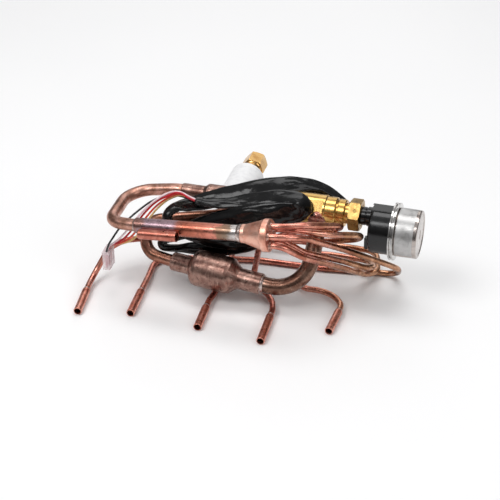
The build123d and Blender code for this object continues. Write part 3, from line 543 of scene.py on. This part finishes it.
socket_look = metal("socket_copper", [(0.28, rgb(176, 102, 86)), (0.46, rgb(216, 142, 122)), (0.62, rgb(232, 166, 148)),
                                      (0.78, rgb(190, 118, 98))], 90, (0.24, 0.38), dent=0.00003,
                    dark=(rgb(112, 60, 48), 0.35))
pocket_look = metal("pocket_copper", [(0.28, rgb(150, 84, 70)), (0.46, rgb(186, 112, 96)), (0.62, rgb(206, 136, 118)),
                                      (0.78, rgb(160, 96, 82))], 84, (0.26, 0.40), dent=0.00003,
                    dark=(rgb(96, 52, 44), 0.4), painted_highlight=(rgb(226, 180, 164), 0.3))
braze_look = metal("braze", [(0.30, rgb(132, 112, 108)), (0.48, rgb(186, 168, 162)), (0.64, rgb(226, 214, 208)),
                             (0.80, rgb(160, 128, 118))], 260, (0.20, 0.38), dent=0.00010, grain=0.00002,
                   dark=(rgb(84, 62, 56), 0.5))
cone_braze_look = metal("cone_braze", [(0.30, rgb(122, 84, 74)), (0.48, rgb(176, 132, 118)), (0.64, rgb(206, 166, 152)),
                                       (0.80, rgb(146, 104, 92))], 260, (0.22, 0.38), dent=0.00008, grain=0.00002,
                        dark=(rgb(84, 56, 48), 0.5))
collar_look = metal("collar_braze", [(0.30, rgb(120, 78, 68)), (0.48, rgb(160, 104, 92)), (0.64, rgb(190, 140, 128)),
                                     (0.80, rgb(136, 92, 82))], 160, (0.24, 0.42), dent=0.00010, grain=0.00002,
                    dark=(rgb(70, 46, 42), 0.5), painted_highlight=(rgb(232, 216, 206), 0.5))
brass_look = metal("valve_brass", [(0.30, rgb(184, 144, 80)), (0.48, rgb(206, 166, 96)), (0.64, rgb(218, 182, 116)),
                                   (0.80, rgb(188, 148, 84))], 52, (0.18, 0.28), dent=0.00001, grain=0.000005,
                   distortion=0.6, dark=(rgb(142, 104, 52), 0.25))
nut_look = metal("nut_brass", [(0.30, rgb(140, 110, 62)), (0.48, rgb(166, 134, 80)), (0.64, rgb(182, 150, 94)),
                               (0.80, rgb(150, 110, 58))], 80, (0.26, 0.38), dent=0.00002,
                 dark=(rgb(112, 78, 42), 0.4))
flare_look = metal("flare_brass", [(0.30, rgb(184, 138, 76)), (0.48, rgb(210, 168, 104)), (0.64, rgb(222, 184, 126)),
                                   (0.80, rgb(186, 142, 84))], 70, (0.16, 0.28), dent=0.00001, distortion=0.5,
                   dark=(rgb(150, 92, 34), 0.3))
mesh_look = metal("screen_mesh", [(0.35, rgb(120, 96, 60)), (0.60, rgb(176, 150, 96)), (0.80, rgb(140, 112, 70))], 300,
                  (0.35, 0.5), dent=0.0001)
can_look = metal("can_steel", [(0.30, rgb(150, 140, 134)), (0.50, rgb(182, 172, 166)), (0.72, rgb(204, 196, 190))], 60,
                 (0.12, 0.22), dent=0.00001, grain=0.000004, streak=((60, 700, 700), rgb(150, 150, 152), 0.55, 0.75, 0.5))
flange_look = metal("flange_steel", [(0.30, rgb(160, 158, 156)), (0.50, rgb(200, 198, 196)), (0.72, rgb(228, 226, 224))],
                    90, (0.08, 0.18), dent=0.00001, grain=0.000003)

foil_look = Look("foil_patch")
foil_look.set(Metallic=0.75, Coat_Weight=0.25, Coat_Roughness=0.2)
ff = foil_look.noise(120, 4, 0.6, 0.5)
foil_look.color(foil_look.ramp(ff, [(0.3, rgb(158, 157, 156)), (0.5, rgb(186, 185, 184)), (0.75, rgb(206, 205, 204))]))
foil_look.rough(foil_look.noise(500, 4, 0.6), 0.30, 0.44)
foil_look.bump(foil_look.noise(260, 3, 0.6, 1.0), 0.00008)

plastic_look = Look("motor_plastic")
plastic_look.set(Specular_IOR_Level=0.42, Coat_Weight=0.10, Coat_Roughness=0.10)
pf = plastic_look.noise(160, 4, 0.6)
plastic_look.color(plastic_look.ramp(pf, [(0.3, (0.0018, 0.0018, 0.0020, 1)), (0.6, (0.0034, 0.0034, 0.0036, 1)),
                                          (0.8, (0.0026, 0.0025, 0.0025, 1))]))
plastic_look.rough(plastic_look.noise(420, 4, 0.6), 0.15, 0.22)
plastic_look.bump(plastic_look.noise(1800, 3, 0.6), 0.000015)

rubber_look = Look("grommet_rubber")
rf = rubber_look.noise(300, 4, 0.6)
rubber_look.color(rubber_look.ramp(rf, [(0.3, (0.010, 0.010, 0.010, 1)), (0.7, (0.022, 0.022, 0.022, 1))]))
rubber_look.rough(rubber_look.noise(500, 4, 0.6), 0.45, 0.62)
rubber_look.bump(rubber_look.noise(1500, 3, 0.6), 0.00002)

sleeve_look = Look("soft_sleeve")
sleeve_look.set(Specular_IOR_Level=0.30, Coat_Weight=0.05, Coat_Roughness=0.12)
sf = sleeve_look.noise(90, 4, 0.6, 0.5)
sleeve_look.color(sleeve_look.ramp(sf, [(0.3, (0.0018, 0.0018, 0.0020, 1)), (0.55, (0.0032, 0.0032, 0.0034, 1)),
                                        (0.8, (0.0024, 0.0024, 0.0025, 1))]))
sleeve_look.rough(sleeve_look.noise(260, 5, 0.65), 0.13, 0.22)
sleeve_look.bump(sleeve_look.noise(110, 2, 0.5, 1.2), 0.00020)
sleeve_look.bump(sleeve_look.noise(520, 3, 0.6, 0.8), 0.00002)


def plastic(name, colour, darker, rough=(0.30, 0.42)):
    k = Look(name)
    k.set(Specular_IOR_Level=0.5)
    f = k.noise(220, 4, 0.6)
    k.color(k.ramp(f, [(0.3, darker), (0.6, colour)]))
    k.rough(k.noise(600, 3, 0.6), rough[0], rough[1])
    k.bump(k.noise(1600, 3, 0.6), 0.00001)
    return k


wire_looks = {
    "black": plastic("wire_black", rgb(44, 44, 46), rgb(26, 26, 28)),
    "white": plastic("wire_white", rgb(244, 222, 226), rgb(226, 190, 198)),
    "red": plastic("wire_red", rgb(206, 22, 40), rgb(168, 14, 32)),
    "orange": plastic("wire_orange", rgb(238, 92, 62), rgb(214, 66, 48)),
    "yellow": plastic("wire_yellow", rgb(246, 214, 150), rgb(228, 190, 116)),
}
foam_look = plastic("foam_white", rgb(240, 240, 240), rgb(228, 228, 229), (0.55, 0.70))
foam_look.bump(foam_look.noise(420, 5, 0.7), 0.00018)
foam_look.bump(foam_look.noise(60, 2, 0.5), 0.0006)

clear_look = Look("clear_nylon")
cf = clear_look.noise(260, 4, 0.6)
clear_look.color(clear_look.ramp(cf, [(0.3, rgb(246, 226, 230)), (0.7, rgb(252, 244, 246))]))
clear_look.set(Alpha=0.55, Specular_IOR_Level=0.6)
clear_look.rough(clear_look.noise(500, 4, 0.6), 0.12, 0.26)
clear_look.bump(clear_look.noise(900, 3, 0.6), 0.00002)
terminal_look = Look("plug_terminals")
tz = terminal_look.axis(2)
terminal_look.set(Specular_IOR_Level=0.5)
tn = terminal_look.math("ADD", tz, terminal_look.span(terminal_look.noise(300, 2, 0.5), 0.3, 0.7, -0.0006, 0.0006))
terminal_look.color(terminal_look.ramp(terminal_look.span(tn, 0.017, 0.033),
                                       [(0.0, rgb(196, 190, 182)), (0.18, rgb(206, 196, 190)), (0.26, rgb(206, 40, 84)),
                                        (0.72, rgb(190, 30, 70)), (0.85, rgb(236, 150, 160)), (1.0, rgb(240, 190, 190))]))
terminal_look.rough(terminal_look.noise(700, 3, 0.6), 0.25, 0.4)
terminal_look.bump(terminal_look.noise(900, 3, 0.6), 0.00003)

CAD_LOOKS = {
    "distributor_cone": cone_look, "distributor_braze_ring": braze_look, "distributor_inlet_tube": near_look,
    "u_bend_tube": u_look, "u_bend_braze_ring": braze_look, "rear_strainer_shell": strainer_look,
    "rear_strainer_screen": mesh_look, "sensor_pocket": pocket_look, "strainer_shell": strainer_look,
    "strainer_screen": mesh_look, "strainer_braze_ring": braze_look, "strainer_inlet_tube": line_look,
    "valve_inlet_elbow": elbow_look, "valve_port_collar": collar_look, "valve_body": brass_look,
    "valve_lock_nut": nut_look, "motor_neck": plastic_look, "motor_housing": plastic_look,
    "motor_flange": flange_look, "motor_can": can_look, "lead_grommet": rubber_look, "liquid_pipe": feeder_look,
    "pipe_reducer": line_look, "flare_nut": flare_look, "pipe_insulation": foam_look,
}
for i in range(1, 6):
    CAD_LOOKS["feeder_tube_%d" % i] = feeder_look
    CAD_LOOKS["outlet_socket_%d" % i] = socket_look
for node, look_of in CAD_LOOKS.items():
    slots = nodes[node].material_slots
    if len(slots) == 0:
        nodes[node].data.materials.append(look_of.m)
    for s in slots:
        s.material = look_of.m
sleeve.data.materials.append(sleeve_look.m)
for colour, obj in lead_objects.items():
    obj.data.materials.append(wire_looks[colour].m)

# ------------------------------------------------------------------ plug, terminals, sleeve end
plug_parts = [((0, 0, -9.0), (5.6, 12.6, 14.6)), ((0, 0, -1.3), (6.2, 13.0, 2.2)), ((-3.0, 0, -5.2), (1.0, 3.4, 6.4)),
              ((-3.2, 0, -8.0), (1.3, 3.4, 1.0)), ((2.9, -3.6, -7.5), (0.7, 1.0, 12.0)),
              ((2.9, 3.6, -7.5), (0.7, 1.0, 12.0))]
plug_body = boxes("lead_plug", plug_parts, clear_look.m)
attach(plug_body, "assembly")
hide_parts("connector_housing")
terminal_parts = []
for k in range(5):
    y = -4.8 + 2.4 * k
    terminal_parts += [((0, y, -5.0), (1.9, 1.5, 7.0)), ((0, y, -12.0), (1.2, 1.1, 7.2)), ((0.4, y, -8.6), (1.4, 1.7, 1.2))]
plug_terminals = boxes("lead_plug_terminals", terminal_parts, terminal_look.m, 0.2)
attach(plug_terminals, "assembly")

# a dark collar of shrunk sleeve where the leads leave it
end_axis = (sleeve_line[-1] - sleeve_line[-4]).normalized()
end_at = sleeve_line[-1]
verts, faces = [], []
SEG, ROWS = 40, [(-5.2, 1.10, 1.12), (-4.6, 1.16, 1.20), (-1.2, 1.12, 1.14), (-0.2, 1.08, 1.06), (0.3, 0.98, 0.92),
                 (-0.6, 0.86, 0.78), (-2.0, 0.80, 0.70)]
# the same sides as the sleeve's last ring
ring = [sleeve.data.vertices[(len(sleeve_line) - 1) * 44 + j].co.copy() for j in range(44)]
mid = sum(ring, Vector()) / 44
for x, wide, tall in ROWS:
    for v in ring:
        verts.append(mid + (v - mid) * wide + end_axis * x * MM)
for i in range(len(ROWS) - 1):
    for j in range(44):
        n = (j + 1) % 44
        faces.append((i * 44 + j, i * 44 + n, (i + 1) * 44 + n, (i + 1) * 44 + j))
sleeve_end = mesh_object("lead_sleeve_end", verts, faces, sleeve_look.m)
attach(sleeve_end, "assembly")

# ------------------------------------------------------------------ braze beads and solder at the joints
near_dir = Vector((81.0, -7.4, 9.4)).normalized()


def near(x):
    a = P(-81.1, -88.1, 66.7)
    return a + near_dir * ((x + 81.1) * MM / near_dir.x)


face_1 = near_dir.cross(look.cross(near_dir)).normalized()
face_2 = near_dir.cross(face_1).normalized()
if face_2.dot(up) < 0:
    face_2 = -face_2
beads = []
for a in (136, -8, -80, 64, -152):
    r = math.radians(a)
    hole = near(24.9) + (face_1 * math.cos(r) + face_2 * math.sin(r)) * 7.4 * MM
    beads.append((hole, near_dir, [(-0.3, 2.40), (-0.3, 3.75), (0.10, 3.60), (0.35, 3.15), (0.75, 2.80), (1.3, 2.58),
                                   (1.8, 2.46), (1.8, 2.40)]))
cone_beads = ring_lathe("cone_braze_beads", beads, cone_braze_look.m, 40, 0.18, 3.0)
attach(cone_beads, "assembly")

SOCKETS = [((-123.8, -92.1, 4.2), (-120.9, -120.5, 3.175)), ((-81.9, -83.1, 4.2), (-80.9, -113.2, 3.175)),
           ((-26.6, -92.1, 4.2), (-26.2, -118.6, 3.175)), ((23.9, -92.0, 4.2), (23.9, -124.5, 3.175)),
           ((73.3, -73.4, 4.2), (70.6, -99.8, 3.175))]
beads = []
for s, m in SOCKETS:
    s, m = P(*s), P(*m)
    beads.append((s, (m - s).normalized(), [(0.25, 2.42), (0.25, 2.82), (-0.2, 2.78), (-0.7, 2.60), (-1.3, 2.45),
                                            (-1.3, 2.40)]))
socket_beads = ring_lathe("socket_braze_beads", beads, braze_look.m, 36, 0.12, 7.0)
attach(socket_beads, "assembly")

# ------------------------------------------------------------------ the valve's side port and the motor
rear_dir = Vector((1.0, -0.062, 0.016)).normalized()


def rear(x):
    a = P(-40.7, -31.5, 68.6)
    return a + rear_dir * ((x + 40.7) * MM / rear_dir.x)


port_dir = Vector((0.0, -0.62, -0.78)).normalized()
port_bead = ring_lathe("valve_port_braze", [(rear(49.5), port_dir,
                       [(7.0, 6.45), (7.0, 9.3), (9.0, 9.2), (10.6, 8.9), (11.8, 8.3), (12.7, 7.5), (13.2, 6.9),
                        (13.4, 6.45)]),
                       (rear(49.5), Vector((-0.05, -0.90, -0.44)),
                        [(7.0, 0.05), (7.0, 8.3), (9.6, 8.1), (11.2, 7.3), (12.4, 5.8), (13.1, 3.6), (13.4, 1.6),
                         (13.45, 0.05)])], collar_look.m, 72, 0.22, 11.0)
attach(port_bead, "assembly")

# plain foil patch on the motor can
motor_at = rear(90.0) + Vector((0, 0, -9.6 * MM))
side_v = rear_dir.cross(Vector((0, 0, 1))).normalized()
top_v = side_v.cross(rear_dir).normalized()
verts, faces = [], []
A0, A1, X0, X1, NA, NX = math.radians(-38), math.radians(232), 21.2, 34.6, 120, 12
for i in range(NA + 1):
    th = A0 + (A1 - A0) * i / NA
    out = side_v * math.cos(th) + top_v * math.sin(th)
    for j in range(NX + 1):
        x = X0 + (X1 - X0) * j / NX
        lift = 0.07 + 0.05 * noise.noise(Vector((th * 4.0, x * 0.35, 2.0)))
        if i in (0, NA) or j in (0, NX):
            lift = 0.015
        # seam where the two ends of the wrap meet
        seam = math.exp(-((x - 28.4) / 0.22) ** 2) * 0.05
        verts.append(motor_at + rear_dir * x * MM + out * (18.5 + lift - seam) * MM)
for i in range(NA):
    for j in range(NX):
        a = i * (NX + 1) + j
        faces.append((a, a + NX + 1, a + NX + 2, a + 1))
patch = mesh_object("can_foil_patch", verts, faces, foil_look.m)
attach(patch, "assembly")

# ------------------------------------------------------------------ floor, light
floor_look = Look("floor")
fl = floor_look.noise(3.0, 2, 0.5)
floor_look.color(floor_look.ramp(fl, [(0.3, (0.955, 0.955, 0.955, 1)), (0.7, (0.97, 0.97, 0.97, 1))]))
floor_look.set(Roughness=0.9, Specular_IOR_Level=0.1)
floor = mesh_object("floor", [(-8, -8, 0), (8, -8, 0), (8, 8, 0), (-8, 8, 0)], [(0, 1, 2, 3)], floor_look.m, False)
floor.location.z = -0.0002

world = bpy.data.worlds.new("studio")
world.use_nodes = True
wt = world.node_tree
wt.nodes.clear()
wo = wt.nodes.new("ShaderNodeOutputWorld")
wb = wt.nodes.new("ShaderNodeBackground")
wc = wt.nodes.new("ShaderNodeTexCoord")
ws = wt.nodes.new("ShaderNodeSeparateXYZ")
wr = wt.nodes.new("ShaderNodeValToRGB")
el = wr.color_ramp.elements
el[0].position, el[0].color = 0.0, (0.60, 0.60, 0.60, 1)
el[1].position, el[1].color = 1.0, (0.62, 0.62, 0.63, 1)
for p, c in ((0.03, (0.10, 0.095, 0.09, 1)), (0.25, (0.12, 0.12, 0.12, 1)), (0.55, (0.30, 0.30, 0.305, 1))):
    e = el.new(p)
    e.color = c
wt.links.new(wc.outputs["Generated"], ws.inputs[0])
wt.links.new(ws.outputs[2], wr.inputs[0])
wt.links.new(wr.outputs[0], wb.inputs[0])
wb.inputs[1].default_value = 1.0
wt.links.new(wb.outputs[0], wo.inputs[0])
scene.world = world


def area(name, at, aim, size, power, tall=None):
    li = bpy.data.lights.new(name, "AREA")
    li.energy = power
    li.size = size
    if tall:
        li.shape = "RECTANGLE"
        li.size_y = tall
    ob = bpy.data.objects.new(name, li)
    scene.collection.objects.link(ob)
    ob.location = at
    ob.rotation_euler = (Vector(aim) - Vector(at)).to_track_quat("-Z", "Y").to_euler()
    return ob


area("key", (-0.50, -0.70, 1.15), (0, 0, 0.04), 0.7, 6.3, 0.45)
area("fill", (0.95, -0.55, 0.75), (0, 0, 0.04), 0.6, 2.3)
area("top", (0.05, 0.25, 1.35), (0, 0, 0.04), 1.2, 6.6, 0.5)
area("rim", (-0.2, 1.1, 0.65), (0, 0, 0.05), 0.8, 2.0)

scene.view_settings.view_transform = "Standard"
scene.view_settings.look = "None"
scene.view_settings.exposure = 0.0
scene.view_settings.gamma = 1.0

bpy.context.view_layer.update()
